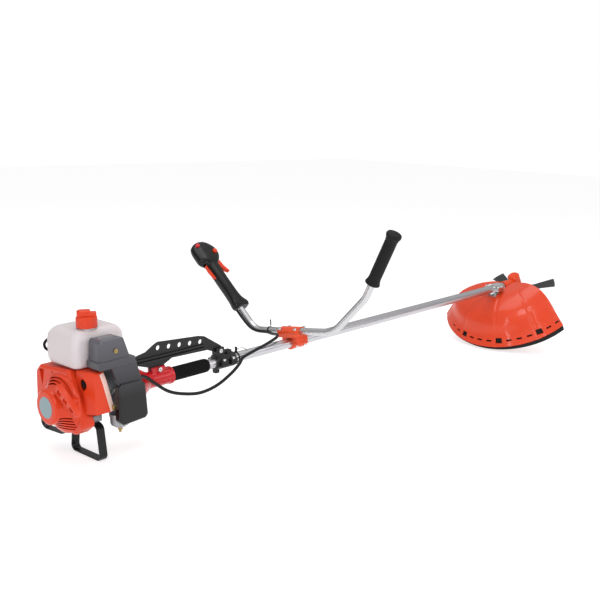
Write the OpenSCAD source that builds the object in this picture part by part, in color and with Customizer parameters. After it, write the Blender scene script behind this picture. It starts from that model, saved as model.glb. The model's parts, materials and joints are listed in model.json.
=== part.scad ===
// Brush cutter: a petrol engine drives a three-tooth blade through a long tube.
// The frame's origin is on the ground, in the middle of the engine stand's foot.
// The drive tube runs along +X at axis_h above the ground; +Z is up.
// Most modules work in the tube frame: X along the tube, with X = 0 at the
// front face of the clutch case. Cutting-head modules work in a tilted frame
// whose Z is the blade's arbor and whose origin is where arbor and tube cross.

/* [Drive tube] */
// Outer diameter of the drive tube
tube_d = 26; // [24:0.5:28]
// Wall thickness of the drive tube
tube_wall = 1.5; // [1:0.25:2]
// Diameter of the drive shaft
shaft_d = 8; // [7:0.5:9]
// Distance from the clutch case to the blade arbor, along the tube
reach = 1514; // [1400:2:1600]

/* [Stance] */
// Height of the tube axis above the stand's foot
axis_h = 135; // [125:1:150]
// Distance from the stand's centre to the front of the clutch case
stand_back = 233; // [225:1:240]
// Width of the stand across its foot
stand_w = 114; // [100:2:130]

/* [Handlebar] */
// Distance from the clutch case to the handlebar, along the tube
bar_x = 418; // [360:2:520]
// Outer diameter of the handlebar tube
bar_d = 19; // [18:0.5:21]
// Height of the handlebar axis above the tube axis
bar_rise = 28; // [26:0.5:32]
// Roll of the handlebar about the drive tube, in degrees
bar_roll = -8; // [-12:1:4]
// Length of the plain grip
plain_grip_l = 146; // [120:2:150]

/* [Harness bracket] */
// Number of harness holes
hook_holes = 5; // [3:1:5]
// Distance between harness holes
hook_pitch = 32; // [26:1:34]
// Diameter of a harness hole
hook_hole_d = 12; // [8:0.5:14]

/* [Cutting head] */
// Tilt of the blade's arbor, in degrees
head_tilt = 30; // [25:1:32]
// Diameter of the blade
blade_d = 255; // [230:1:255]
// Number of teeth on the blade
blade_teeth = 3; // [2:1:4]
// Radius of the guard's lower rim
guard_r = 238; // [225:1:245]
// Angle that the guard covers towards the operator's left, in degrees
guard_near = 88; // [80:1:95]
// Angle that the guard covers towards the operator's right, in degrees
guard_far = 60; // [50:1:75]

/* [Controls] */
// Length of the handle on the starter rope
pull_l = 88; // [76:2:96]
// Diameter of the fuel cap
cap_d = 46; // [40:1:50]

/* [Hidden] */
$fn = 64;

tube_r = tube_d / 2;
shaft_r = shaft_d / 2;
bar_r = bar_d / 2;
fit = 0.1;          // radial play of a part that turns or slides in another
orange = "orangered";
blade_r = blade_d / 2;

// engine stations along the tube axis
dome_x = -336;      // rear face of the starter dome
hood_x = -294;      // rear face of the cooling hood
hood_front = -262;
case_x0 = -252;     // rear face of the crankcase
case_x1 = -160;     // joint between crankcase and clutch case
cyl_x = -222;       // plane of the cylinder axis
cyl_lean = 50;      // lean of the cylinder from upright, towards -Y
web_x = -210;       // middle of the crank webs
crank_r = 7.5;
case_r = 44;
cavity_r = 31;
seat_r = 17.5;      // outer radius of a crank bearing
drum_r = 39;
hub_r = 6;
hub_seat_r = 11;
carb_y = -66;
carb_x = -194;
carb_z = -6;
throat_r = 15;      // outside of the carburettor's air passage
wall = 2.5;         // wall of the moulded covers
tank_lo = [-290, -50, 80];
tank_hi = [-188, 62, 163];
cap_at = [-241, -26];
duct_y = -89.5;     // inner face of the lower air duct
rope_at = [-58, 20];
pull_x = -322;      // middle of the starter handle
pull_t = 14;        // thickness of the starter handle
pull_turn = 32;     // its lean from level

// head stations along the arbor
case_foot = -28;
blade_w = -36.5;    // underside of the blade
blade_t = 2.5;
arbor_r = 6;
pilot_r = 12.7;
gear_cone = 35.2;   // half angle of the bevel gear's pitch cone
pinion_cone = 90 - head_tilt - gear_cone;
cone_r = 26;        // outer cone distance of the bevel gears
cone_face = 8;

module at_axis() translate([stand_back, 0, axis_h]) children();
module at_head() at_axis() translate([reach, 0, 0]) rotate([0, -head_tilt, 0]) children();
module at_bar() at_axis() rotate([bar_roll, 0, 0]) translate([bar_x, 0, 0]) children();
module spin_x() rotate([0, 90, 0]) rotate_extrude() children();
module to_x(x, y = 0, z = 0) translate([x, y, z]) rotate([0, 90, 0]) children();
module to_y(x, y, z) translate([x, y, z]) rotate([-90, 0, 0]) children();
module rod_x(x0, x1, r) to_x(x0) cylinder(h = x1 - x0, r = r);
module ring_x(x0, x1, r1, r0) to_x(x0) difference() {
    cylinder(h = x1 - x0, r = r1);
    translate([0, 0, -1]) cylinder(h = x1 - x0 + 2, r = r0);
}
module block(lo, hi) translate(lo) cube(hi - lo);

// rectangle with true round corners, centred on the origin
module round_rect(w, h, r) {
    square([w - 2 * r, h], center = true);
    square([w, h - 2 * r], center = true);
    for (x = [-1, 1], y = [-1, 1])
        translate([x * (w / 2 - r), y * (h / 2 - r)]) circle(r);
}

// flat strip of thickness t along a list of points, with mitred corners
function left_of(a, b) = let (d = unit(b - a)) [-d.y, d.x];
function beside(p, i, gap) =
    let (last = len(p) - 1, n1 = left_of(p[max(i - 1, 0)], p[max(i, 1)]),
        n2 = left_of(p[min(i, last - 1)], p[min(i + 1, last)]))
    p[i] + (n1 + n2) * gap / (1 + n1 * n2);
module strip(points, t) polygon(concat(
    [for (i = [0:len(points) - 1]) beside(points, i, t / 2)],
    [for (i = [len(points) - 1:-1:0]) beside(points, i, -t / 2)]));

// strip in the YZ plane, w wide along X
module strap(x0, w, t, points) translate([x0, 0, 0]) rotate([90, 0, 90]) linear_extrude(w) strip(points, t);

// flexible round cord through a list of 3D points
module cord(points, r) for (i = [0:len(points) - 2]) hull() {
    translate(points[i]) sphere(r, $fn = 12);
    translate(points[i + 1]) sphere(r, $fn = 12);
}

// point of a smooth curve through p[i] and p[i+1]
function curve(p, i, t) =
    let (a = p[max(i - 1, 0)], b = p[i], c = p[i + 1], d = p[min(i + 2, len(p) - 1)])
    0.5 * (2 * b + (c - a) * t + (2 * a - 5 * b + 4 * c - d) * t * t + (3 * b - a - 3 * c + d) * t * t * t);
function smooth(p, n) = concat([for (i = [0:len(p) - 2], k = [0:n - 1]) curve(p, i, k / n)], [p[len(p) - 1]]);

module bolt(h, r, head_h, head_r) {
    cylinder(h = h, r = r);
    translate([0, 0, h]) difference() {
        cylinder(h = head_h, r = head_r);
        translate([0, 0, head_h / 2]) cylinder(h = head_h, r = head_r / 2, $fn = 6);
    }
}

// ---------------------------------------------------------------- engine
module on_cylinder() translate([cyl_x, 0, 0]) rotate([cyl_lean, 0, 0]) children();

module crankcase() color("silver") at_axis() difference() {
    union() {
        rod_x(case_x0, case_x1, case_r);
        rod_x(case_x1 - 8, case_x1, 50);
        on_cylinder() cylinder(h = 46, r = 27);
        block([-250, -30, -52], [-216, 30, -38]);
        block([carb_x - 14, -50, -18], [carb_x + 14, -30, 8]);
        // rest under the fuel tank
        block([-212, 4, 40], [-205, 28, tank_lo.z]);
    }
    rod_x(web_x - 18, web_x + 18, cavity_r);
    rod_x(case_x0 - 1, case_x1 + 1, 12);
    rod_x(case_x0 + 2, web_x - 17, seat_r);
    rod_x(web_x + 17, case_x1 - 6, seat_r);
    on_cylinder() cylinder(h = 50, r = 20);
    to_y(carb_x, -51, carb_z) cylinder(h = 30, r = 8);
}

module crankshaft() color("gray") at_axis() {
    rod_x(-298, web_x - 6, crank_r);
    rod_x(web_x + 6, -126, crank_r);
    for (x = [web_x - 14, web_x + 6]) rod_x(x, x + 8, 28);
    to_x(web_x - 10, 0, 15) cylinder(h = 20, r = 7);
    // clutch carrier with the two shoe pivots
    ring_x(-150, -146, 30, crank_r);
    for (a = [0, 180]) rotate([a, 0, 0]) to_x(-146, 0, 25) cylinder(h = 24, r = 3);
}

module ball_bearings() color("lightgray") {
    at_axis() {
        for (x = [case_x0 + 2, case_x1 - 17]) ring_x(x, x + 11, seat_r, crank_r + fit);
        for (x = [-106, -84]) ring_x(x, x + 8, hub_seat_r, hub_r + fit);
        ring_x(reach - 44, reach - 36, tube_r - 1.5, shaft_r + fit);
    }
    at_head() for (w = [case_foot + 1, 22]) translate([0, 0, w]) difference() {
        cylinder(h = 8, r = w < 0 ? 16 : 12);
        translate([0, 0, -1]) cylinder(h = 10, r = arbor_r + fit);
    }
}

module cylinder_body() {
    translate([0, 0, 46]) cylinder(h = 40, r = 24);
    for (z = [50:6:80]) translate([0, 0, z]) cylinder(h = 2.5, r = 28);
}
module cylinder_block() color("darkgray") at_axis() difference() {
    union() {
        on_cylinder() cylinder_body();
        to_y(cyl_x, -42, 62) cylinder(h = 22, r = 11);
        to_x(cyl_x - 30, -58, 52) cylinder(h = 16, r = 9);
    }
    on_cylinder() translate([0, 0, 30]) cylinder(h = 48, r = 20);
    to_y(cyl_x, -50, 62) cylinder(h = 40, r = 7);
    to_x(cyl_x - 40, -58, 52) cylinder(h = 30, r = 5);
}

module spark_plug() color("white") at_axis() translate([0, -58, 52]) {
    rod_x(cyl_x - 30, cyl_x - 12, 5);
    rod_x(cyl_x - 36, cyl_x - 30, 8);
    rod_x(cyl_x - 50, cyl_x - 36, 4);
}

module spark_plug_cap() color("black") at_axis() translate([0, -58, 52]) difference() {
    rod_x(cyl_x - 56, cyl_x - 37, 7);
    rod_x(cyl_x - 51, cyl_x - 36, 4);
}

module ignition_coil() color("dimgray") at_axis() {
    block([-276, -20, 53.5], [-268, 20, 62]);
    block([-280, -13, 62], [-264, 13, 70]);
}

module flywheel() color("silver") at_axis() difference() {
    union() {
        rod_x(-268, -256, 50);
        rod_x(-280, -268, 22);
        for (a = [0:30:330]) rotate([a, 0, 0]) block([-282, -1.2, 20], [-268, 1.2, 49]);
    }
    rod_x(-290, -250, crank_r);
}

// radius of the starter drum against X, from the dome back to the hood
function drum_line(s) = [[0, dome_x + s], [33 - s, dome_x + s], [39 - s, dome_x + 5 + s],
    [41 - s, dome_x + 20 + s], [58 - s, hood_x - 10 + s], [66 - s, hood_x - 2 + s]];
module drum_solid(s, x1) spin_x() polygon(concat(drum_line(s), [[66 - s, x1], [0, x1]]));
module hood_face(s) polygon([[-24 + s, 78 - s], [88 - s, 70 - s], [104 - s, 54 - s], [107 - s, -8 + s],
    [88 - s, -46 + s], [40, -64 + s], [-40, -64 + s], [-72 + s, -40 + s], [-54 + s, 8]]);
module hood_solid(s, x0, x1) translate([x0, 0, 0]) rotate([90, 0, 90]) linear_extrude(x1 - x0) hood_face(s);

module starter_housing() color(orange) at_axis() difference() {
    union() {
        difference() {
            union() {
                drum_solid(0, hood_front);
                hood_solid(0, hood_x, hood_front);
                // rest under the fuel tank
                block([hood_front - 8, 0, 66], [hood_front, 28, tank_lo.z]);
            }
            drum_solid(2.5, hood_front + 1);
            hood_solid(2.5, hood_x + 2.5, hood_front + 1);
        }
        rod_x(dome_x + 1, -306, 5.5);
        // boss that guides the starter rope
        to_x(-309, rope_at.x, rope_at.y) cylinder(h = 16, r = 6.5);
    }
    // straight air slots below the handle
    for (z = [-50:7:-22]) block([-325, -52, z], [-285, 2 - (z + 50) * 0.2, z + 3.5]);
    // curved air slots above the dome
    for (r = [48, 54, 60]) rotate([-8, 0, 0]) intersection() {
        ring_x(-330, -285, r + 1.6, r - 1.6);
        block([-331, -44, 30], [-284, 22, 70]);
    }
    to_x(-330, rope_at.x, rope_at.y) cylinder(h = 40, r = 4);
    // moulded recess in the upper corner
    translate([hood_x - 1, 0, 0]) rotate([90, 0, 90]) linear_extrude(5)
        polygon([[88, 60], [68, 60], [78, 24]]);
}

module starter_reel() color("ivory") at_axis() difference() {
    union() {
        rod_x(-326, -323, 30);
        rod_x(-323, -313, 24);
        rod_x(-313, -310, 30);
    }
    rod_x(-327, -309, 5.5 + fit);
}

module starter_rope() color("ivory") at_axis()
    to_x(pull_x + pull_t / 2, rope_at.x, rope_at.y) cylinder(h = 20, r = 1.75);

module starter_grip() color(orange) at_axis() translate([pull_x, rope_at.x - 6, rope_at.y + 5.5])
    rotate([pull_turn, 0, 0]) difference() {
        rotate([90, 0, 90]) translate([0, 0, -pull_t / 2]) linear_extrude(pull_t)
            polygon([[pull_l / 2, -12], [pull_l / 2, 12], [-pull_l / 2 + 6, 8], [-pull_l / 2, 4],
                [-pull_l / 2, -4], [-pull_l / 2 + 6, -8]]);
        // three square pockets in the face that shows
        for (y = [-25, 1, 26])
            block([-pull_t / 2 - 1, y - 8, -5 - y / 25], [-pull_t / 2 + 4, y + 8, 5 + y / 25]);
    }

module cover_plan(s) polygon([[-280 + s, -34], [-280 + s, -78], [-273 + s, -86 + s], [-204 - s, -88 + s],
    [-204 - s, -34]]);
module cylinder_cover() color(orange) at_axis() difference() {
    translate([0, 0, -14]) linear_extrude(93) cover_plan(0);
    translate([0, 0, -15]) linear_extrude(91.5) cover_plan(2.5);
    // room for the starter housing's hood and drum
    hood_solid(-0.5, hood_x - 1, hood_front + 0.5);
    drum_solid(-0.5, hood_front + 0.5);
    // open side facing the crankcase, then the sloping front edge
    block([-277.5, -40, -15], [-200, -33, 76.5]);
    translate([-238, -100, 80]) rotate([0, -14, 0]) block([0, 0, -110], [60, 80, 20]);
    to_x(-285, -58, 52) cylinder(h = 10, r = 9);
}

// ---------------------------------------------------------------- fuel and air
module carburettor() color("silver") at_axis() difference() {
    union() {
        to_y(carb_x, duct_y - wall, carb_z) cylinder(h = -50 - duct_y + wall, r = throat_r);
        translate([carb_x, carb_y, -34]) cylinder(h = 51, r = 12);
        block([carb_x - 22, -54, -24], [carb_x + 22, -50, 7]);
        translate([carb_x, carb_y, -34]) cylinder(h = 4, r = 23);
    }
    to_y(carb_x, duct_y - 5, carb_z) cylinder(h = -49 - duct_y + 5, r = 7.5);
    translate([carb_x, carb_y, -16]) cylinder(h = 40, r = 9);
}

module float_bowl() color("silver") at_axis() translate([carb_x, carb_y, -58]) difference() {
    union() {
        cylinder(h = 24, r = 22);
        translate([0, 0, -4]) cylinder(h = 4, r = 14);
    }
    translate([0, 0, 3]) cylinder(h = 22, r = 20);
}

module drain_screw() color("darkgoldenrod") at_axis() translate([carb_x, carb_y, -74]) {
    cylinder(h = 12, r = 3);
    translate([0, 0, 6]) cylinder(h = 6, r = 6, $fn = 6);
}

module throttle_slide() color("goldenrod") at_axis() translate([carb_x, carb_y, -14]) {
    cylinder(h = 18, r = 9 - fit);
}

module duct_side(s) polygon([[-240 + s, 84.8 - s], [-220 + s, 52], [-222 + s, 40], [-222 + s, -40 + s],
    [-214 + s, -46 + s], [-152 - s, -42 + s], [-146 - s, -34 + s], [-150 - s, 20], [-172 - s, 84.8 - s]]);
module air_duct() color("dimgray") at_axis() difference() {
    translate([0, duct_y, 0]) rotate([90, 0, 0]) linear_extrude(18.5) duct_side(0);
    translate([0, duct_y - wall, 0]) rotate([90, 0, 0]) linear_extrude(18.5 - 2 * wall) duct_side(wall);
    to_y(carb_x, duct_y - 4, carb_z) cylinder(h = 6, r = throat_r);
    air_passage();
}

// opening between the air cleaner and the duct below it
module air_passage() block([-228, -101, 80], [-185, -93, 90]);

module air_filter() color("darkolivegreen") at_axis() block([-252, -92, 94], [-206, -66, 138]);

module cleaner_side(s) polygon([[-262 + s, 103 - s], [-260 + s, 144 - s], [-256 + s, 149 - s],
    [-204 - s, 149 - s], [-199 - s, 146 - s], [-182 - s, 103 - s]]);
module air_cleaner_cover() color("dimgray") at_axis() difference() {
    union() {
        translate([0, -58, 0]) rotate([90, 0, 0]) linear_extrude(42) cleaner_side(0);
        block([-266, -103, 85], [-172, -56, 103.5]);
    }
    translate([0, -60.5, 0]) rotate([90, 0, 0]) linear_extrude(37) cleaner_side(wall);
    block([-263.5, -100.5, 87.5], [-174.5, -58.5, 103.6]);
    air_passage();
    to_y(-222, -101, 122) cylinder(h = 5, r = 2.5);
}

module cover_screw() color("darkgoldenrod") at_axis() translate([-222, 0, 122]) difference() {
    union() {
        to_y(0, -102.5, 0) cylinder(h = 2.5, r = 5);
        to_y(0, -100, 0) cylinder(h = 7.9, r = 2.5);
    }
    block([-4, -103, -0.6], [4, -101.5, 0.6]);
}

module tank_solid(s) {
    mid = (tank_lo + tank_hi) / 2;
    size = tank_hi - tank_lo - [2, 2, 2] * s;
    hull() for (x = [-1, 1], y = [-1, 1], z = [-1, 1])
        translate(mid + [x * (size.x / 2 - 20), y * (size.y / 2 - 24), z * (size.z / 2 - 20)])
            sphere(20, $fn = 32);
    hull() for (y = [-1, 1], z = [-1, 1])
        translate(mid + [0, y * (size.y / 2 - 16), z * (size.z / 2 - 26)])
            to_x(-size.x / 2 + 14) cylinder(h = size.x - 28, r = 16, $fn = 32);
}
module fuel_tank() color("whitesmoke") at_axis() difference() {
    union() {
        tank_solid(0);
        translate([cap_at.x, cap_at.y, 155]) cylinder(h = 22, r = cap_d / 2 - 5);
    }
    tank_solid(2.5);
    translate([cap_at.x, cap_at.y, 145]) cylinder(h = 40, r = cap_d / 2 - 8);
}

module fuel_cap() color(orange) at_axis() translate([cap_at.x, cap_at.y, 165]) difference() {
    union() {
        cylinder(h = 24, r = cap_d / 2);
        for (a = [0:15:345]) rotate(a) translate([cap_d / 2 - 0.3, 0, 0]) cylinder(h = 22, r = 1.2, $fn = 16);
        intersection() {
            cylinder(h = 38, r = cap_d / 2 - 1);
            translate([-25, -11, 0]) cube([50, 22, 38]);
        }
    }
    translate([0, 0, -1]) cylinder(h = 19, r = cap_d / 2 - 5 + fit);
}

hose_path = [[-262, 66, 128], [-268, 84, 122], [-270, 98, 108], [-262, 98, 94], [-240, 76, 86],
    [-200, 72, 84], [-182, 60, 84], [-178, 20, 84], [-178, -20, 84], [-176, -50, 76], [-172, -78, 50],
    [-170, -82, 20], [-172, -78, -8], [-177, -68, -26]];
module fuel_hose() color("black") at_axis() cord(smooth(hose_path, 2), 3.2);

module muffler() color("dimgray") at_axis() {
    difference() {
        union() {
            block([-252, 56, -42], [-184, 104, 76]);
            to_y(cyl_x, -20, 62) cylinder(h = 78, r = 9);
            to_y(cyl_x, -20, 62) cylinder(h = 3, r = 11.5);
            to_x(-190, 90, -20) cylinder(h = 16, r = 8);
        }
        to_y(cyl_x, -22, 62) cylinder(h = 80, r = 6.5);
        block([-250, 58, -40], [-186, 102, 74]);
        to_x(-190, 90, -20) cylinder(h = 17, r = 6);
    }
}

module muffler_guard() color("black") at_axis()
    strap(-262, 18, 3.5, [[28, -53.75], [46, -84], [62, -94], [132, -98], [146, -90], [148, -30],
        [138, -10], [106, -6]]);

module stand() color("black") at_axis()
    strap(-stand_back - 10, 20, 4, [[-24, -54], [-36, -54], [-46, -60], [-stand_w / 2 + 2, -axis_h + 10],
        [-stand_w / 2 + 9, -axis_h + 2], [stand_w / 2 - 9, -axis_h + 2], [stand_w / 2 - 2, -axis_h + 10],
        [46, -60], [36, -54], [24, -54]]);

// ---------------------------------------------------------------- clutch and drive
module clutch_case() color("crimson") at_axis() difference() {
    union() {
        spin_x() polygon([[0, case_x1], [50, case_x1], [50, case_x1 + 8], [46, case_x1 + 12], [46, -112],
            [40, -100], [22, -72], [19.5, -60], [19.5, -8], [21, -6], [21, 0], [0, 0]]);
        block([-58, -9, 10], [-20, 9, 29]);
    }
    rod_x(case_x1 - 1, -112, 42);
    spin_x() polygon([[0, -112.1], [42, -112.1], [32, -108], [0, -108]]);
    rod_x(-109, -62, hub_seat_r);
    rod_x(-63, -59, shaft_r + 2);
    rod_x(-60, 1, tube_r);
    block([-59, -1, 10], [1, 1, 30]);
    block([-59, -2.05, 19.9], [-19, 2.05, 30]);
    to_y(-38, -10, 24) cylinder(h = 20, r = 3);
}

module clutch_drum() color("gray") at_axis() {
    ring_x(-146, -120, drum_r, drum_r - 2.5);
    ring_x(-120, -117, drum_r, 5);
    ring_x(-119, -66, hub_r, shaft_r);
}

// one centrifugal shoe, upright; the other is the same, turned half a turn
module shoe_profile() difference() {
    intersection() {
        difference() {
            circle(drum_r - 3.6);
            circle(16);
        }
        rotate(35) translate([-40, 2]) square([80, 40]);
    }
    translate([0, 25]) circle(3 + fit);
}
module shoe() to_x(-144) linear_extrude(20) rotate(-90) shoe_profile();
module clutch_shoe_a() color("dimgray") at_axis() shoe();
module clutch_shoe_b() color("dimgray") at_axis() rotate([180, 0, 0]) shoe();

module drive_tube() color("silver") at_axis() ring_x(-60, reach - 30, tube_r, tube_r - tube_wall);
module drive_shaft() color("gray") at_axis() rod_x(-112, reach - 14, shaft_r);
module shaft_bushes() color("black") at_axis() for (i = [1:5]) {
    x = i * reach / 6;
    ring_x(x - 12, x + 12, tube_r - tube_wall, shaft_r + fit);
}

module foam_grip() color("black") at_axis() difference() {
    spin_x() polygon([[0, 1], [15, 1], [17, 3], [17, 108], [15.5, 113], [13.5, 114.5], [0, 114.5]]);
    rod_x(0, 116, tube_r);
}

// ---------------------------------------------------------------- harness bracket
hook_mid = [30, 68];
hook_fall = 2.5;   // each harness hole is lower than the one behind it
module harness_bracket() color("black") at_axis() difference() {
    union() {
        translate([0, 2, 0]) rotate([90, 0, 0]) linear_extrude(4) polygon([
            [-97, 64], [-69, 69], [-46, 82], [-34, 87], [90, 78], [108, 74], [160, 41], [160, 21], [140, 21],
            [140, 28], [116, 38], [6, 41], [-17, 30.5], [-20, 20], [-58, 20], [-62, 30.5], [-97, 42]]);
        // folded rib that stiffens the lower edge
        block([-97, -7, 44], [104, 2, 47.5]);
        block([-97, -7, 52], [104, 2, 55.5]);
    }
    for (i = [0:hook_holes - 1]) {
        k = i - (hook_holes - 1) / 2;
        to_y(hook_mid.x + k * hook_pitch, -10, hook_mid.y - k * hook_fall)
            cylinder(h = 20, r = hook_hole_d / 2);
    }
    to_y(-38, -10, 24) cylinder(h = 20, r = 3);
    to_y(150, -10, 31) cylinder(h = 20, r = 2.75);
}

module bracket_clamp() color("black") at_axis() {
    difference() {
        union() {
            ring_x(138, 198, 18.5, tube_r);
            for (x = [142, 172]) {
                block([x, -28, 0.4], [x + 20, -12, 7]);
                block([x, 12, 0.4], [x + 20, 28, 7]);
            }
            block([140, -9, 14], [164, 9, 38]);
            block([176, -7, 14], [190, 7, 26]);
        }
        rod_x(137, 199, tube_r);
        block([130, -30, -30], [200, 30, 0.3]);
        block([139, -2, 20.9], [165, 2, 45]);
        to_y(150, -10, 31) cylinder(h = 20, r = 2.75);
        for (x = [152, 182], y = [-22.5, 22.5]) translate([x, y, -1]) cylinder(h = 12, r = 2.5);
    }
    difference() {
        union() {
            ring_x(138, 198, 18.5, tube_r);
            for (x = [142, 172]) {
                block([x, -28, -7], [x + 20, -12, -0.4]);
                block([x, 12, -7], [x + 20, 28, -0.4]);
            }
            block([138, -6, -26], [150, 6, -16]);
        }
        rod_x(137, 199, tube_r);
        block([130, -30, -0.3], [200, 30, 60]);
        for (x = [152, 182], y = [-22.5, 22.5]) translate([x, y, -10]) cylinder(h = 12, r = 2.5);
    }
}

// ---------------------------------------------------------------- handlebar clamp
clamp_w = 48;       // along the drive tube
clamp_l = 68;       // along the handlebar
bolt_at = [17.5, 27];
module bar_bore() on_bar_run(80) cylinder(h = 140, r = bar_r + 0.05);
module handle_clamp_base() color(orange) at_bar() difference() {
    union() {
        block([-clamp_w / 2, -clamp_l / 2, 16], [clamp_w / 2, clamp_l / 2, bar_rise - 0.3]);
        block([-14, -27, 0.4], [28, 27, 17]);
    }
    bar_bore();
    rod_x(-40, 40, tube_r);
    for (x = [-1, 1], y = [-1, 1]) translate([x * bolt_at.x, y * bolt_at.y, 14]) cylinder(h = 20, r = 2.5);
    for (x = [-8, 22], y = [-22, 22]) translate([x, y, -1]) cylinder(h = 12, r = 2.5);
}
module handle_clamp_cap() color(orange) at_bar() difference() {
    union() {
        block([-clamp_w / 2, -clamp_l / 2, bar_rise + 0.3], [clamp_w / 2, clamp_l / 2, bar_rise + 7]);
        intersection() {
            to_y(0, -clamp_l / 2, bar_rise) cylinder(h = clamp_l, r = bar_r + 4.5);
            block([-30, -40, bar_rise + 0.3], [30, 40, bar_rise + 20]);
        }
    }
    bar_bore();
    for (x = [-1, 1], y = [-1, 1]) translate([x * bolt_at.x, y * bolt_at.y, 20]) cylinder(h = 30, r = 2.5);
}
module handle_clamp_lower() color(orange) at_bar() difference() {
    union() {
        block([-14, -27, -7], [28, 27, -0.4]);
        intersection() {
            rod_x(-14, 28, tube_r + 5);
            block([-20, -20, -25], [40, 20, -0.4]);
        }
    }
    rod_x(-40, 40, tube_r);
    for (x = [-8, 22], y = [-22, 22]) translate([x, y, -10]) cylinder(h = 12, r = 2.5);
}

module clamp_bolts() color("silver") {
    at_bar() {
        for (x = [-1, 1], y = [-1, 1])
            translate([x * bolt_at.x, y * bolt_at.y, 17]) bolt(bar_rise - 10, 2.5, 5, 4.5);
        for (x = [-8, 22], y = [-22, 22])
            mirror([0, 0, 1]) translate([x, y, -9]) bolt(16, 2.5, 5, 4.5);
    }
    at_axis() {
        for (x = [152, 182], y = [-22.5, 22.5]) translate([x, y, -6]) bolt(13, 2.5, 5, 4.5);
        mirror([0, 1, 0]) to_y(150, -9, 31) bolt(18, 2.75, 5, 5);
        mirror([0, 1, 0]) to_y(-38, -9, 24) bolt(18, 3, 5, 5);
        for (x = guard_bolts, y = [-22, 22]) translate([x, y, -6]) bolt(12, 2.5, 5, 4.5);
    }
}

// ---------------------------------------------------------------- handlebar
// centre line in the handlebar's plane: Y across, Z above the bar axis
bar_line = [[-376, 246], [-268, 92], [-150, 3], [145, 0], [345, 228]];
bend_r = [0, 90, 90, 60, 0];
function turn_of(i) = let (a = bar_line[i] - bar_line[i - 1], b = bar_line[i + 1] - bar_line[i])
    atan2(a.x * b.y - a.y * b.x, a * b);
function unit(v) = v / norm(v);
function trim_of(i) = bend_r[i] * tan(abs(turn_of(i)) / 2);
// points along one bend, about 15 degrees apart
function bend_points(i) =
    let (d = unit(bar_line[i] - bar_line[i - 1]), side = [-d.y, d.x], turn = turn_of(i),
        steps = ceil(turn / 15), middle = bar_line[i] - d * trim_of(i) + side * bend_r[i])
    [for (k = [0:steps]) middle + bend_r[i] * (d * sin(turn * k / steps) - side * cos(turn * k / steps))];
bar_points = concat([bar_line[0]], [for (i = [1:3]) each bend_points(i)], [bar_line[4]]);
module bar_solid(r) for (i = [1:len(bar_points) - 1]) {
    a = bar_points[i - 1];
    d = bar_points[i] - a;
    translate([0, a.x, a.y]) rotate([-90 + atan2(d.y, d.x), 0, 0]) cylinder(h = norm(d), r = r);
    if (i < len(bar_points) - 1) translate([0, bar_points[i].x, bar_points[i].y]) sphere(r + 0.05);
}
module handlebar() color("silver") at_bar() translate([0, 0, bar_rise]) difference() {
    bar_solid(bar_r);
    bar_solid(bar_r - 1.5);
}

// straight middle run of the handlebar, s from its first corner
module on_bar_run(s) {
    d = bar_line[3] - bar_line[2];
    translate([0, bar_line[2].x, bar_line[2].y + bar_rise]) rotate([-90 + atan2(d.y, d.x), 0, 0])
        translate([0, 0, s]) children();
}

module at_bar_end(i, j) {
    d = bar_line[i] - bar_line[j];
    translate([0, bar_line[i].x, bar_line[i].y + bar_rise]) rotate([-90 + atan2(d.y, d.x), 0, 0]) children();
}
module plain_grip() color("black") at_bar() at_bar_end(0, 1) difference() {
    translate([0, 0, 4 - plain_grip_l]) rotate_extrude() polygon([[0, 0], [19, 0], [20, 4], [17, 14],
        [15.5, 22], [15.5, plain_grip_l - 20], [18, plain_grip_l - 10], [19.5, plain_grip_l - 3],
        [18, plain_grip_l], [0, plain_grip_l]]);
    translate([0, 0, -plain_grip_l - 5]) cylinder(h = plain_grip_l + 5, r = bar_r);
}

// throttle grip frame: Z along the bar, X forward, +Y towards the middle of the machine
grip_l = 150;       // from the flange to the head
head_l = 82;
grip_base = grip_l + head_l - 18;
module at_grip() at_bar() at_bar_end(4, 3) translate([0, 0, -grip_base]) mirror([0, 1, 0]) children();
trigger_pin = [27, 172];
lock_pin = [-12, 106];
module grip_side() polygon([[-16, 150], [-30, 164], [-31, 214], [-24, 226], [-6, 236], [20, 236],
    [40, 222], [49, 200], [47, 184], [36, 166], [22, 150], [20, 34], [34, 6], [34, -4], [24, -10],
    [-14, -10], [-22, -6], [-20, 6], [-16, 30]]);
module grip_solid() difference() {
    intersection() {
        translate([0, 17, 0]) rotate([90, 0, 0]) linear_extrude(34) grip_side();
        union() {
            translate([2, 0, -12]) linear_extrude(180) round_rect(74, 31, 14);
            translate([9, 0, 150]) linear_extrude(90) round_rect(84, 34, 12);
        }
    }
    translate([0, 0, -20]) cylinder(h = grip_base + 20, r = bar_r + 0.05);
    // slots for trigger, lockout lever and buttons
    block([18, -6, 116], [60, 6, 178]);
    block([-40, -5, 100], [-11, 5, 158]);
    to_y(-16, 5, 216) cylinder(h = 20, r = 6 + fit);
    to_y(30, 5, 188) cylinder(h = 20, r = 7 + fit);
    to_y(trigger_pin.x, -20, trigger_pin.y) cylinder(h = 40, r = 2);
    to_y(lock_pin.x, -20, lock_pin.y) cylinder(h = 40, r = 2);
}
module throttle_grip_inner() color("black") at_grip() difference() {
    grip_solid();
    block([-60, -30, -30], [80, 0, 260]);
}
module throttle_grip_outer() color("black") at_grip() difference() {
    grip_solid();
    block([-60, 0, -30], [80, 30, 260]);
}

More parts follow.
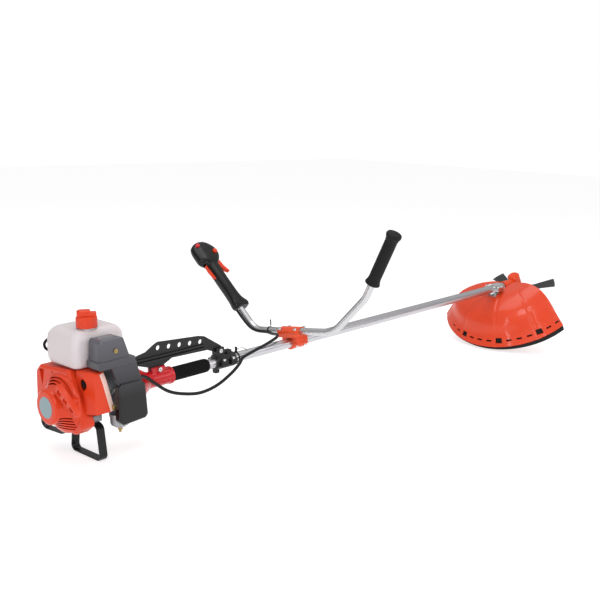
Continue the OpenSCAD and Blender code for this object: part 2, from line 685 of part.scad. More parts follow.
module throttle_trigger() color(orange) at_grip() difference() {
    union() {
        translate([0, 5, 0]) rotate([90, 0, 0]) linear_extrude(10) polygon([[23, 176], [31, 177], [38, 160],
            [40, 142], [47, 124], [49, 120], [43, 119], [32, 128], [27, 140], [24, 165]]);
        to_y(trigger_pin.x, -8, trigger_pin.y) cylinder(h = 16, r = 1.9);
    }
    block([0, -9, 170], [60, -5.1, 180]);
}
module lockout_lever() color(orange) at_grip() {
    translate([0, 4, 0]) rotate([90, 0, 0]) linear_extrude(8) polygon([[-11.5, 102], [-14, 102], [-20, 108],
        [-23, 130], [-22, 150], [-18, 154], [-17, 130], [-14, 112], [-11.5, 110]]);
    to_y(lock_pin.x, -8, lock_pin.y) cylinder(h = 16, r = 1.9);
}
module stop_button() color("firebrick") at_grip() to_y(-16, 10, 216) cylinder(h = 11, r = 6);
module lock_button() color(orange) at_grip() to_y(30, 10, 188) cylinder(h = 12, r = 7);

cable_run = [[-194, -66, 22], [-182, -64, 36], [-144, -56, 38], [-104, -43, 26], [-75, -40, 4],
    [-36, -38, -24], [8, -36, -41], [62, -36, -51], [116, -36, -44], [166, -34, -24], [198, -28, -8],
    [214, -22, 2], [244, -20, 9], [300, -18, 20], [346, -8, 27], [372, 16, 26], [388, 48, 19],
    [402, 87, 15], [402, 126, 12], [402, 152, 18], [402, 178, 35], [402.5, 204, 56]];
module throttle_cable() color("black") at_axis() cord(smooth(cable_run, 2), 4);

module cable_ties() color("black") {
    at_axis() {
        ring_x(210, 213, tube_r + 1.5, tube_r);
        block([210, -3, tube_r + 0.2], [213, 3, tube_r + 14]);
    }
    at_bar() on_bar_run(234) difference() {
        cylinder(h = 3, r = bar_r + 1.6);
        translate([0, 0, -1]) cylinder(h = 5, r = bar_r + 0.2);
    }
}

// ---------------------------------------------------------------- cutting head
module gear_case() color(orange) difference() {
    union() {
        at_head() {
            translate([0, 0, case_foot]) cylinder(h = 58, r = 20);
            translate([0, 0, 30]) cylinder(h = 5, r1 = 20, r2 = 14);
        }
        at_axis() rod_x(reach - 82, reach - 8, 16.5);
    }
    at_head() {
        translate([0, 0, case_foot - 1]) cylinder(h = 10, r = 16);
        translate([0, 0, -20]) cylinder(h = 41.5, r = 15.8);
        translate([0, 0, 21]) cylinder(h = 9, r = 12);
    }
    at_axis() {
        rod_x(reach - 83, reach - 30, tube_r);
        rod_x(reach - 31, reach, 11.6);
    }
}

module drive_pinion() color("dimgray") at_axis() translate([reach, 0, 0]) difference() {
    to_x(-cone_r * cos(pinion_cone)) cylinder(h = cone_face * cos(pinion_cone),
        r1 = cone_r * sin(pinion_cone) - 0.4, r2 = (cone_r - cone_face) * sin(pinion_cone) - 0.4);
    rod_x(-60, 0, shaft_r);
}

module blade_arbor() color("gray") at_head() {
    translate([0, 0, -52]) cylinder(h = 82, r = arbor_r);
    translate([0, 0, (cone_r - cone_face) * cos(gear_cone)]) cylinder(h = cone_face * cos(gear_cone),
        r1 = (cone_r - cone_face) * sin(gear_cone) - 0.4, r2 = cone_r * sin(gear_cone) - 0.4);
}

module blade_holder() color("gray") at_head() translate([0, 0, blade_w]) difference() {
    union() {
        translate([0, 0, blade_t]) cylinder(h = 5, r = 24);
        cylinder(h = blade_t + 1, r = pilot_r);
    }
    translate([0, 0, -1]) cylinder(h = 20, r = arbor_r);
}

module blade() color("black") at_head() translate([0, 0, blade_w]) difference() {
    linear_extrude(blade_t) intersection() {
        circle(blade_r, $fn = 128);
        union() {
            circle(34);
            for (i = [0:blade_teeth - 1]) rotate(64 + i * 360 / blade_teeth)
                polygon([[0, -24], [62, -13], [82, -15], [blade_r + 2, -24], [blade_r + 2, 21], [84, 17],
                    [58, 14], [0, 24]]);
        }
    }
    translate([0, 0, -1]) cylinder(h = 10, r = pilot_r);
    for (i = [0:blade_teeth - 1])
        rotate(64 + i * 360 / blade_teeth) translate([28, 0, -1]) cylinder(h = 10, r = 3);
}

module blade_nut() color("silver") at_head() translate([0, 0, blade_w]) difference() {
    union() {
        translate([0, 0, -4]) cylinder(h = 4, r = 22);
        translate([0, 0, -12]) cylinder(h = 8, r = 10, $fn = 6);
    }
    translate([0, 0, -20]) cylinder(h = 30, r = arbor_r);
}

// guard: a bell revolved about an axis a little behind the arbor
guard_back = 35;
guard_bolts = [reach - 141, reach - 121];
guard_line = [[22, 36], [40, 44], [62, 48], [90, 49], [120, 45], [148, 37], [172, 24], [192, 4],
    [208, -18], [224, -37], [guard_r, -53]];
// front edge of the guard on the operator's left, seen along the arbor
guard_edge = [[-44, -10], [-46, -60], [-52, -100], [-62, -140], [-80, -180], [-100, -215], [-125, -262],
    [60, -262], [60, -10]];
slot_step = 8.75;
module guard_bell() difference() {
    translate([-guard_back, 0, 0]) rotate(180 - guard_far)
        rotate_extrude(angle = guard_far + guard_near) children();
    translate([0, 0, -120]) linear_extrude(200) polygon(guard_edge);
}
module guard() color(orange) difference() {
    at_head() guard_bell() polygon(concat(guard_line,
        [for (i = [len(guard_line) - 1:-1:0]) guard_line[i] - [2, 3]]));
    // channel for the tube and the gear case's sleeve
    at_axis() block([reach - 220, -19.3, -19], [reach - 20, 18.7, 60]);
    // narrow slots along the rim, with a square window at every fourth one
    at_head() translate([-guard_back, 0, 0]) for (i = [-4:8]) rotate(180 + i * slot_step)
        block([200, (i + 2) % 4 == 0 ? -10 : -8, (i + 2) % 4 == 0 ? -45 : -41],
            [234, (i + 2) % 4 == 0 ? 10 : 8, (i + 2) % 4 == 0 ? -31 : -36.5]);
}
// rubber strip behind the slots; it hangs lower on the operator's left
module guard_skirt() color("black") at_head() difference() {
    guard_bell() polygon([[guard_r - 33.5, -23], [guard_r - 17.5, -42], [guard_r - 5.5, -56],
        [guard_r - 3, -57.5], [guard_r - 2, -62], [guard_r - 2, -82], [guard_r - 6, -82],
        [guard_r - 9, -60], [guard_r - 21, -46], [guard_r - 37, -25]]);
    translate([0, 0, -63]) rotate([3, 0, 0]) block([-400, -400, -80], [100, 400, 0]);
}

module guard_clamp() color("silver") {
    at_axis() difference() {
        union() {
            rod_x(reach - 150, reach - 112, tube_r + 4.5);
            block([reach - 148, -27, 0.4], [reach - 114, 27, 6]);
        }
        rod_x(reach - 180, reach - 100, tube_r);
        block([reach - 180, -40, -40], [reach - 100, 40, 0.3]);
        for (x = guard_bolts, y = [-22, 22]) translate([x, y, -20]) cylinder(h = 40, r = 2.5);
    }
    difference() {
        union() {
            at_axis() rod_x(reach - 150, reach - 112, tube_r + 4.5);
            at_axis() block([reach - 148, -27, -6], [reach - 114, 27, -0.4]);
            // foot that rests on the guard
            at_head() block([-140, -16, 49.5], [-98, 16, 54]);
        }
        at_axis() {
            rod_x(reach - 200, reach - 60, tube_r);
            block([reach - 200, -40, -0.3], [reach - 60, 40, 60]);
            for (x = guard_bolts, y = [-22, 22]) translate([x, y, -20]) cylinder(h = 40, r = 2.5);
        }
    }
}

crankcase();
crankshaft();
ball_bearings();
cylinder_block();  // cylinder
spark_plug();
spark_plug_cap();
ignition_coil();
flywheel();
starter_housing();
starter_reel();
starter_rope();
starter_grip();
cylinder_cover();
carburettor();
float_bowl();
drain_screw();
throttle_slide();
air_duct();
air_filter();
air_cleaner_cover();
cover_screw();
fuel_tank();
fuel_cap();
fuel_hose();
muffler();
muffler_guard();
stand();
clutch_case();
clutch_drum();
clutch_shoe_a();
clutch_shoe_b();
drive_tube();
drive_shaft();
shaft_bushes();
foam_grip();
harness_bracket();
bracket_clamp();
clamp_bolts();
handle_clamp_base();
handle_clamp_cap();
handle_clamp_lower();
handlebar();
plain_grip();
throttle_grip_inner();
throttle_grip_outer();
throttle_trigger();
lockout_lever();
stop_button();
lock_button();
throttle_cable();
cable_ties();
gear_case();
drive_pinion();
blade_arbor();
blade_holder();
blade();
blade_nut();
guard();
guard_skirt();
guard_clamp();
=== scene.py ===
import bpy, bmesh, json, math
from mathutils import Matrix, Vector


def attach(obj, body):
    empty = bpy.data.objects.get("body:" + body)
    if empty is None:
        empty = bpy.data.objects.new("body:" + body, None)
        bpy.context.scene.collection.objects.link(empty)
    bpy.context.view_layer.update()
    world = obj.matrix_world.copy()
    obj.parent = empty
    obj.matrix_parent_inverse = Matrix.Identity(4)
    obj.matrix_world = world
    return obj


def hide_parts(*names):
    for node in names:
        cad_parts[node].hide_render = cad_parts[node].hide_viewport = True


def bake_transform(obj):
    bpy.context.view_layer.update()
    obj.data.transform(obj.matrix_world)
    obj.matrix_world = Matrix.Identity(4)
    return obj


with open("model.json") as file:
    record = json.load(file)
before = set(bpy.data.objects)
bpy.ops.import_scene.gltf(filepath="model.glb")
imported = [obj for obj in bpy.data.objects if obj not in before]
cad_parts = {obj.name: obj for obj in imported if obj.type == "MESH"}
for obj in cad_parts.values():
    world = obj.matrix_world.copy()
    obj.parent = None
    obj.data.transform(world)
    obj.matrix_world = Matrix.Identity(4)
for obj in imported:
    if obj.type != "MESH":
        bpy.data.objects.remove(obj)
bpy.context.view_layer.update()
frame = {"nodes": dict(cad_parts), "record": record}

# The tube frame: millimetres, X along the drive tube from the front of the
# clutch case, Z up from the tube's axis.
STAND_BACK, AXIS_H, REACH = 233.0, 135.0, 1514.0
TILT = math.radians(30)
# the handlebar's plane: where it crosses the tube, its rise over the axis, tube radius and roll
BAR_X, BAR_RISE, BAR_R = 418.0, 28.0, 9.5
BAR_ROLL = math.radians(-8)


# across-and-up places of the starter rope, the fuel cap and the carburettor
ROPE_Y, ROPE_Z = -58, 20
CAP_X, CAP_Y = -241, -26
CARB_X, CARB_Y = -194, -66
SHARP = 35  # degrees between faces above which an edge is drawn sharp


def at(x, y, z):
    return Vector((x + STAND_BACK, y, z + AXIS_H)) / 1000


def at_head(x, y, w):
    c, s = math.cos(TILT), math.sin(TILT)
    return at(REACH + x * c - w * s, y, x * s + w * c)


def at_bar(x, y, z):
    c, s = math.cos(BAR_ROLL), math.sin(BAR_ROLL)
    return at(BAR_X + x, y * c - z * s, y * s + z * c)


# ------------------------------------------------------------------ materials
def material(name, color, rough=0.4, metallic=0.0, coat=0.0, bump=0.05, scale=400.0, spread=0.04,
             rough_spread=0.06, stretch=(1, 1, 1), wear=0.0, wear_color=(0.7, 0.7, 0.7),
             subsurface=0.0, transmission=0.0, coat_rough=0.08, specular=0.22, painted_sky_light=None):
    """Principled material with fine noise in bump and roughness, broad noise in colour, worn edges and, when
    asked, a painted sky reflection that makes it paler towards the top.
    """
    m = bpy.data.materials.new(name)
    m.use_nodes = True
    n, link = m.node_tree.nodes, m.node_tree.links.new
    p = n["Principled BSDF"]
    coord = n.new("ShaderNodeTexCoord")
    mapping = n.new("ShaderNodeMapping")
    mapping.inputs["Scale"].default_value = stretch
    link(coord.outputs["Object"], mapping.inputs["Vector"])
    fine = n.new("ShaderNodeTexNoise")
    fine.inputs["Scale"].default_value = scale
    fine.inputs["Detail"].default_value = 6.0
    link(mapping.outputs["Vector"], fine.inputs["Vector"])
    broad = n.new("ShaderNodeTexNoise")
    broad.inputs["Scale"].default_value = 14.0
    broad.inputs["Detail"].default_value = 3.0
    link(coord.outputs["Object"], broad.inputs["Vector"])
    ramp = n.new("ShaderNodeMapRange")
    ramp.inputs["To Min"].default_value = 1 - spread
    ramp.inputs["To Max"].default_value = 1 + spread
    link(broad.outputs["Fac"], ramp.inputs["Value"])
    tint = n.new("ShaderNodeMix")
    tint.data_type = "RGBA"
    tint.blend_type = "MULTIPLY"
    tint.inputs["Factor"].default_value = 1.0
    tint.inputs["A"].default_value = (*color, 1)
    link(ramp.outputs["Result"], tint.inputs["B"])
    shade = tint.outputs["Result"]
    if painted_sky_light:
        # painted sky reflection, paler towards the top: the argument is ((lower height, upper height), gain at the
        # upper height)
        height = n.new("ShaderNodeSeparateXYZ")
        link(coord.outputs["Object"], height.inputs["Vector"])
        gain = n.new("ShaderNodeMapRange")
        gain.inputs["From Min"].default_value, gain.inputs["From Max"].default_value = painted_sky_light[0]
        gain.inputs["To Min"].default_value = 1.0
        gain.inputs["To Max"].default_value = painted_sky_light[1]
        link(height.outputs["Z"], gain.inputs["Value"])
        paler = n.new("ShaderNodeMix")
        paler.data_type = "RGBA"
        paler.blend_type = "MULTIPLY"
        paler.clamp_result = False
        paler.inputs["Factor"].default_value = 1.0
        link(shade, paler.inputs["A"])
        link(gain.outputs["Result"], paler.inputs["B"])
        shade = paler.outputs["Result"]
    if wear:
        geo = n.new("ShaderNodeNewGeometry")
        edge = n.new("ShaderNodeMapRange")
        edge.inputs["From Min"].default_value = 0.56
        edge.inputs["From Max"].default_value = 0.72
        edge.inputs["To Max"].default_value = wear
        link(geo.outputs["Pointiness"], edge.inputs["Value"])
        worn = n.new("ShaderNodeMix")
        worn.data_type = "RGBA"
        worn.inputs["B"].default_value = (*wear_color, 1)
        link(edge.outputs["Result"], worn.inputs["Factor"])
        link(shade, worn.inputs["A"])
        shade = worn.outputs["Result"]
    link(shade, p.inputs["Base Color"])
    gloss = n.new("ShaderNodeMapRange")
    gloss.inputs["To Min"].default_value = max(rough - rough_spread, 0.02)
    gloss.inputs["To Max"].default_value = rough + rough_spread
    link(fine.outputs["Fac"], gloss.inputs["Value"])
    link(gloss.outputs["Result"], p.inputs["Roughness"])
    if bump:
        b = n.new("ShaderNodeBump")
        b.inputs["Strength"].default_value = bump
        b.inputs["Distance"].default_value = 0.0004
        link(fine.outputs["Fac"], b.inputs["Height"])
        link(b.outputs["Normal"], p.inputs["Normal"])
    p.inputs["Metallic"].default_value = metallic
    p.inputs["Specular IOR Level"].default_value = 0.5 if metallic else specular
    p.inputs["Coat Weight"].default_value = coat
    p.inputs["Coat Roughness"].default_value = coat_rough
    p.inputs["Subsurface Weight"].default_value = subsurface
    p.inputs["Subsurface Radius"].default_value = (0.02, 0.015, 0.012)
    p.inputs["Transmission Weight"].default_value = transmission
    return m


MATS = {
    "orange_plastic": material("orange_moulded", (0.62, 0.042, 0.010), 0.30, coat=0.12, bump=0.05, scale=900),
    # painted highlight: a pale orange that stands for a softbox reflected in the cover's front bevel
    "orange_pale": material("orange_painted_highlight", (1.0, 0.68, 0.60), 0.30, coat=0.4, bump=0.03, scale=900),
    "orange_paint": material("orange_enamel", (0.70, 0.055, 0.008), 0.32, coat=0.2, bump=0.05, scale=300,
                             wear=0.2, wear_color=(0.9, 0.30, 0.18)),
    "guard_orange": material("orange_guard", (0.66, 0.052, 0.014), 0.30, coat=0.35, bump=0.06, scale=500,
                             spread=0.06),
    "red_paint": material("red_enamel", (0.50, 0.006, 0.010), 0.28, coat=0.35, bump=0.05, scale=300),
    "red_plastic": material("red_button", (0.62, 0.02, 0.03), 0.3, coat=0.3),
    "black_paint": material("black_enamel", (0.008, 0.008, 0.009), 0.38, coat=0.12, bump=0.10, scale=260,
                            wear=0.10, wear_color=(0.15, 0.15, 0.15)),
    "blade_paint": material("blade_coating", (0.010, 0.011, 0.013), 0.45, bump=0.12, scale=320,
                            wear=0.3, wear_color=(0.30, 0.30, 0.31)),
    "black_plastic": material("black_moulded", (0.004, 0.004, 0.0045), 0.24, coat=0.16, bump=0.04, scale=900),
    # the grey plastic gets a painted sky reflection: up to twenty times paler towards the top
    "grey_plastic": material("grey_moulded", (0.006, 0.006, 0.007), 0.22, coat=0.25, bump=0.02, scale=700,
                             coat_rough=0.06, painted_sky_light=((0.15, 0.33), 20.0)),
    "tank_plastic": material("milky_tank", (0.66, 0.605, 0.62), 0.38, bump=0.06, scale=260, subsurface=0.6,
                             transmission=0.10, spread=0.03),
    "black_rubber": material("moulded_rubber", (0.006, 0.006, 0.006), 0.62, bump=0.30, scale=700),
    "foam": material("closed_foam", (0.005, 0.005, 0.005), 0.85, bump=0.9, scale=900, specular=0.12),
    "cable_jacket": material("cable_jacket", (0.006, 0.006, 0.006), 0.4, bump=0.08, scale=500),
    "silver_tube": material("drawn_aluminium", (0.56, 0.55, 0.575), 0.30, metallic=1.0, bump=0.10, scale=900,
                            stretch=(0.02, 1, 1), rough_spread=0.08),
    "bar_tube": material("polished_bar", (0.60, 0.595, 0.615), 0.27, metallic=1.0, bump=0.08, scale=900,
                         stretch=(1, 0.05, 0.05)),
    "cast_aluminium": material("cast_aluminium", (0.36, 0.37, 0.39), 0.5, metallic=1.0, bump=0.4, scale=520),
    "ground_steel": material("ground_steel", (0.36, 0.36, 0.37), 0.3, metallic=1.0, bump=0.1, scale=900),
    "zinc_steel": material("zinc_plate", (0.62, 0.62, 0.62), 0.24, metallic=1.0, bump=0.08, scale=500,
                           wear=0.3, wear_color=(0.9, 0.9, 0.9)),
    "cast_iron": material("cast_iron", (0.05, 0.05, 0.055), 0.6, metallic=0.8, bump=0.5, scale=420),
    "brass": material("turned_brass", (0.36, 0.25, 0.10), 0.34, metallic=1.0, bump=0.1, scale=600),
    "white_plastic": material("nylon", (0.78, 0.75, 0.68), 0.5, bump=0.15, scale=500),
    "filter_foam": material("filter_foam", (0.07, 0.10, 0.04), 0.9, bump=1.0, scale=900),
    "label": material("plain_label", (0.22, 0.30, 0.33), 0.35, coat=0.2, bump=0.02),
}
SLOT_OF = {s["node"]: s["material_slot"] for s in frame["record"]["subparts"]}


def paint(ob, name):
    ob.data.materials.clear()
    ob.data.materials.append(MATS[name])


def even_normals(ob):
    ob.modifiers.new("normals", "WEIGHTED_NORMAL").keep_sharp = True


def smooth(me, sharp=SHARP):
    me.shade_smooth()
    me.set_sharp_from_angle(angle=math.radians(sharp))


def bevel(ob, width):
    m = ob.modifiers.new("edge", "BEVEL")
    m.width = width / 1000
    m.segments = 2
    m.limit_method = "ANGLE"
    m.angle_limit = math.radians(SHARP)
    m.use_clamp_overlap = True
    even_normals(ob)


for node_name, ob in frame["nodes"].items():
    paint(ob, SLOT_OF[node_name])
for node_name in ("harness_bracket", "bracket_clamp", "handle_clamp_base", "handle_clamp_cap",
                  "handle_clamp_lower", "guard_clamp", "blade", "gear_case", "clutch_case"):
    bevel(frame["nodes"][node_name], 0.9 if node_name != "blade" else 0.4)


# ------------------------------------------------------------------ mesh kit
def piece(name, verts, faces, body, mat, nodes=(), slot=None, sharp=SHARP):
    """A new piece that rides on body and stands for the CAD nodes named."""
    me = bpy.data.meshes.new(name)
    me.from_pydata([tuple(v) for v in verts], [], faces)
    bm = bmesh.new()
    bm.from_mesh(me)
    bmesh.ops.remove_doubles(bm, verts=bm.verts, dist=1e-6)
    bmesh.ops.recalc_face_normals(bm, faces=bm.faces)
    bm.to_mesh(me)
    bm.free()
    smooth(me, sharp)
    ob = bpy.data.objects.new(name, me)
    bpy.context.collection.objects.link(ob)
    paint(ob, mat)
    even_normals(ob)
    if body:
        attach(ob, body)
    if nodes:
        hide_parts(*nodes)
    return ob


def skin(rings):
    """Vertices and faces of a closed surface through rings of equal point count, with flat ends."""
    n = len(rings[0])
    verts = [p for r in rings for p in r]
    faces = []
    count = len(rings)
    for i in range(count - 1):
        for k in range(n):
            after = (k + 1) % n
            faces.append((i * n + k, i * n + after, (i + 1) * n + after, (i + 1) * n + k))
    faces.append(tuple(range(n)))
    faces.append(tuple(range((count - 1) * n, count * n)))
    return verts, faces


def turned(v, t):
    c, s = math.cos(t), math.sin(t)
    return Vector((v.x * c - v.y * s, v.x * s + v.y * c))


def rounded(poly, rad, n=5):
    """Outline with every corner replaced by an arc; rad is a number or one per corner."""
    out = []
    rads = rad if isinstance(rad, (list, tuple)) else [rad] * len(poly)
    for i, (p, r) in enumerate(zip(poly, rads)):
        p = Vector(p)
        a = (Vector(poly[i - 1]) - p)
        b = (Vector(poly[(i + 1) % len(poly)]) - p)
        half = a.angle(b) / 2
        cut = min(r / math.tan(half), 0.46 * a.length, 0.46 * b.length) if half < 1.56 else 0
        if cut < 0.05:
            out.append(p)
            continue
        r = cut * math.tan(half)
        a.normalize()
        b.normalize()
        mid = p + (a + b).normalized() * (r / math.sin(half))
        s, e = p + a * cut - mid, p + b * cut - mid
        turn = s.angle(e)
        side = 1 if s.x * e.y - s.y * e.x > 0 else -1
        for k in range(n + 1):
            t = side * turn * k / n
            out.append(mid + turned(s, t))
    return out


def inset(outline, d):
    """The outline moved inwards by d."""
    n = len(outline)
    area = sum(outline[i].x * outline[(i + 1) % n].y - outline[(i + 1) % n].x * outline[i].y for i in range(n))
    sign = 1 if area > 0 else -1
    out = []
    for i, p in enumerate(outline):
        t = (outline[(i + 1) % n] - outline[i - 1]).normalized()
        out.append(p + Vector((-t.y, t.x)) * d * sign)
    return out


def puff(name, outline, lo, hi, r_lo, r_hi, place, body, mat, nodes=(), slot=None, steps=4):
    """A plate or block with the given outline and rounded rims, from lo to hi along its third axis."""
    rings = []

    def ring(w, d):
        return [place(q.x, q.y, w) for q in inset(outline, d)]
    sign = 1 if hi > lo else -1
    for k in range(steps + 1):
        t = math.pi / 2 * k / steps
        if r_lo:
            rings.append(ring(lo + sign * r_lo * (1 - math.cos(t)), r_lo * (1 - math.sin(t))))
        elif k == 0:
            rings.append(ring(lo, 0))
    for k in range(steps + 1):
        t = math.pi / 2 * k / steps
        if r_hi:
            rings.append(ring(hi - sign * r_hi * (1 - math.sin(t)), r_hi * (1 - math.cos(t))))
        elif k == 0:
            rings.append(ring(hi, 0))
    return piece(name, *skin(rings), body, mat, nodes, slot)


def revolve(name, profile, place, body, mat, nodes=(), slot=None, steps=72, sharp=SHARP):
    """Turns a profile of (along, radius) about the along axis of place(along, u, v).

    The profile closes on itself unless one of its ends is on the axis."""
    verts = []
    for i in range(steps):
        a = math.radians(360.0 * i / steps)
        verts += [place(s, r * math.cos(a), r * math.sin(a)) for s, r in profile]
    n = len(profile)
    faces = []
    tubular = profile[0][1] > 0.01 and profile[-1][1] > 0.01
    for i in range(steps):
        j = (i + 1) % steps
        for k in range(n if tubular else n - 1):
            after = (k + 1) % n
            faces.append((i * n + k, i * n + after, j * n + after, j * n + k))
    return piece(name, verts, faces, body, mat, nodes, slot, sharp)


def smooth_path(points, n=6):
    """A Catmull-Rom curve through the points, with n steps between two of them."""
    p = [Vector(q) for q in points]
    out = []
    for i in range(len(p) - 1):
        a, b, c, d = p[max(i - 1, 0)], p[i], p[i + 1], p[min(i + 2, len(p) - 1)]
        for k in range(n):
            t = k / n
            out.append(0.5 * (2 * b + (c - a) * t + (2 * a - 5 * b + 4 * c - d) * t * t
                              + (3 * b - a - 3 * c + d) * t ** 3))
    out.append(p[-1])
    return out


def sweep(name, points, section, body, mat, nodes=(), slot=None, up=(0, 0, 1), sharp=SHARP):
    """Sweeps a section (list of (side, up)) along metre points, without twist."""
    rings = []
    up = Vector(up)
    last = len(points) - 1
    prev = None
    for i, p in enumerate(points):
        t = (points[min(i + 1, last)] - points[max(i - 1, 0)]).normalized()
        side = t.cross(up) if prev is None else prev - t * prev.dot(t)
        side.normalize()
        prev = side
        u = side.cross(t)
        rings.append([p + (side * a + u * b) / 1000 for a, b in section])
    return piece(name, *skin(rings), body, mat, nodes, slot, sharp)


def disc(r, n=20):
    return [(r * math.cos(2 * math.pi * k / n), r * math.sin(2 * math.pi * k / n)) for k in range(n)]


def cut(ob, *cutters):
    """Takes the cutters away from ob and applies the result."""
    for c in cutters:
        m = ob.modifiers.new("cut", "BOOLEAN")
        m.operation = "DIFFERENCE"
        m.solver = "EXACT"
        m.object = c
    weighted = ob.modifiers.get("normals")
    if weighted:
        ob.modifiers.remove(weighted)
    bpy.context.view_layer.update()
    dg = bpy.context.evaluated_depsgraph_get()
    me = bpy.data.meshes.new_from_object(ob.evaluated_get(dg))
    ob.modifiers.clear()
    old = ob.data
    ob.data = me
    me.name = old.name
    smooth(me)
    even_normals(ob)
    for c in cutters:
        bpy.data.objects.remove(c)


def cutter(verts, faces):
    me = bpy.data.meshes.new("cutter")
    me.from_pydata([tuple(v) for v in verts], [], faces)
    bm = bmesh.new()
    bm.from_mesh(me)
    bmesh.ops.recalc_face_normals(bm, faces=bm.faces)
    bm.to_mesh(me)
    bm.free()
    ob = bpy.data.objects.new("cutter", me)
    bpy.context.collection.objects.link(ob)
    return ob


def prism_cutter(outline, lo, hi, place):
    return cutter(*skin([[place(u, v, w) for u, v in outline] for w in (lo, hi)]))


def merge(ob, *others):
    """Joins other pieces into the first, so they stay one piece."""
    bm = bmesh.new()
    bm.from_mesh(ob.data)
    for other in others:
        bm.from_mesh(other.data)
        bpy.data.objects.remove(other)
    bm.to_mesh(ob.data)
    bm.free()
    ob.data.set_sharp_from_angle(angle=math.radians(SHARP))


def yz(u, v, w):
    return at(w, u, v)


def xz(u, v, w):
    return at(u, w, v)


def upright(x, y):
    """Place for a piece turned about the vertical line through x, y."""
    return lambda s, u, v: at(x + u, y + v, s)


# ------------------------------------------------------------------ engine shells
hood = rounded([(-24, 78), (88, 70), (104, 54), (107, -8), (88, -46), (40, -64), (-40, -64), (-72, -40), (-54, 8)],
               [8, 14, 12, 16, 16, 18, 18, 12, 30])
hood_shell = puff("starter_hood", hood, -262, -294, 0.0, 7.0, yz, "chassis", "orange_plastic",
                  nodes=("starter_housing",))
drum = [(-336, 0.01), (-336, 33), (-335.2, 36), (-333, 38.4), (-330, 39.4), (-318, 41), (-315, 42.5), (-304, 58),
        (-298, 64), (-294, 66), (-290, 66), (-290, 0.01)]
drum_shell = revolve("starter_drum", drum, at, "chassis", "orange_plastic",
                     slot="orange_plastic", steps=96)
slots = []
for i in range(5):
    z, end = -50 + 7 * i, 2 - i * 1.4
    slots.append(prism_cutter([(-53, z), (end, z), (end, z + 3.6), (-53, z + 3.6)], -326, -286, yz))
for r in (47, 53, 59):
    arc = [(rr * math.cos(math.radians(a)), rr * math.sin(math.radians(a)))
           for rr, span in ((r + 1.7, range(58, 149, 6)), (r - 1.7, range(148, 57, -6))) for a in span]
    slots.append(prism_cutter(arc, -332, -286, yz))
cut(drum_shell, *slots)
hood_cuts = [prism_cutter([(88, 61), (67, 63), (78, 22)], -296, -288, yz),
             prism_cutter([(36 + a, 62 + b) for a, b in disc(2.6, 14)], -296, -288, yz)]
cut(hood_shell, *hood_cuts)
# the dome's round plate, left plain
revolve("dome_plate", [(-336.1, 0.01), (-336.9, 0.01), (-336.9, 23), (-336.1, 24)],
        at, "chassis", "label", slot="grey_plastic", steps=64)


# handle on the starter rope, with a raised rim and three square pockets
PULL_TURN = math.radians(32)


def pull_at(u, v, w):
    """u along the handle, v across it, w away from the engine's front."""
    c, s = math.cos(PULL_TURN), math.sin(PULL_TURN)
    return at(-322 + w, ROPE_Y - 6 + u * c - v * s, ROPE_Z + 5.5 + u * s + v * c)


pull_line = rounded([(44, -12), (44, 12), (-38, 8), (-44, 4), (-44, -4), (-38, -8)], [5, 5, 3, 3, 3, 3])
pull = puff("starter_handle", pull_line, 7, -7, 1.2, 1.2, pull_at, "pull", "orange_plastic",
            nodes=("starter_grip",))
pockets = [prism_cutter([(41.8, -9.8), (41.8, 9.8), (-37.5, 5.8), (-41.5, 3), (-41.5, -3), (-37.5, -5.8)],
                        -10, -6, pull_at)]
for c in (-25, 1, 26):
    h = 4.2 + c / 25
    pockets.append(prism_cutter([(c - 7, -h), (c + 7, -h), (c + 7, h), (c - 7, h)], -8, -2.5, pull_at))
cut(pull, *pockets)
revolve("rope_guide", [(-309, 2.6), (-309, 5.4), (-308, 6.5), (-293, 6.5), (-293, 2.6)],
        lambda s, u, v: at(s, ROPE_Y + u, ROPE_Z + v), "chassis", "orange_plastic", slot="orange_plastic",
        steps=32)
# the cord's section has eight strands, and the cord stretches between the guide and the handle
rope = [at(-315 + i, ROPE_Y, ROPE_Z) for i in range(0, 22)]
rope_section = [((1.75 + 0.18 * (k % 2)) * math.cos(math.pi * k / 8),
                 (1.75 + 0.18 * (k % 2)) * math.sin(math.pi * k / 8)) for k in range(16)]
rope_ob = sweep("starter_cord", rope, rope_section, None, "white_plastic", nodes=("starter_rope",))
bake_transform(rope_ob)


def loft(name, levels, body, mat, nodes, sharp=180, subdiv=0):
    """A body through outlines at successive heights; levels are (outline, height)."""
    v, f = skin([[at(p[0], p[1], w) for p in o] for o, w in levels])
    ob = piece(name, v, f, body, mat, nodes, None, sharp)
    if subdiv:
        m = ob.modifiers.new("soft", "SUBSURF")
        m.levels = m.render_levels = subdiv
    return ob


# cylinder cover: its side leans out towards the bottom, its front edge slopes
def cover_level(z, d=0.0):
    lean = (80 - z) / 94
    x1 = -239 + 23 * lean
    side = -85 - 3 * lean
    return rounded([(-280 + d, -34), (-279 + d, -62), (-267 + 0.4 * d, side + 1 + d), (x1 - 16 - d, side + d),
                    (x1 - d, side + 7 + d), (x1 - d, -34)], [1, 3, 4, 0.8, 1.2, 1], n=3)


cover_rings = []
for k in range(5):
    t = math.pi / 2 * k / 4
    cover_rings.append((cover_level(79, 6 * (1 - math.sin(t))), 79 - 6 * (1 - math.cos(t))))
for z in (52, 26, 4, -14):
    cover_rings.append((cover_level(z), z))
cover_rings.append((cover_level(-14, 2.5), -14))
cover_rings.append((cover_level(74, 2.5), 74))
cover = loft("cylinder_shroud", cover_rings, "chassis", "orange_plastic", nodes=("cylinder_cover",), sharp=30)
cut(cover, prism_cutter([(-58 + 9.5 * math.cos(a / 10 * math.pi), 50 + 13 * math.sin(a / 10 * math.pi))
                         for a in range(20)], -290, -270, yz),
    prism_cutter([(-230, -20), (-200, -20), (-200, 40), (-222, 60)], -70, -36, xz))
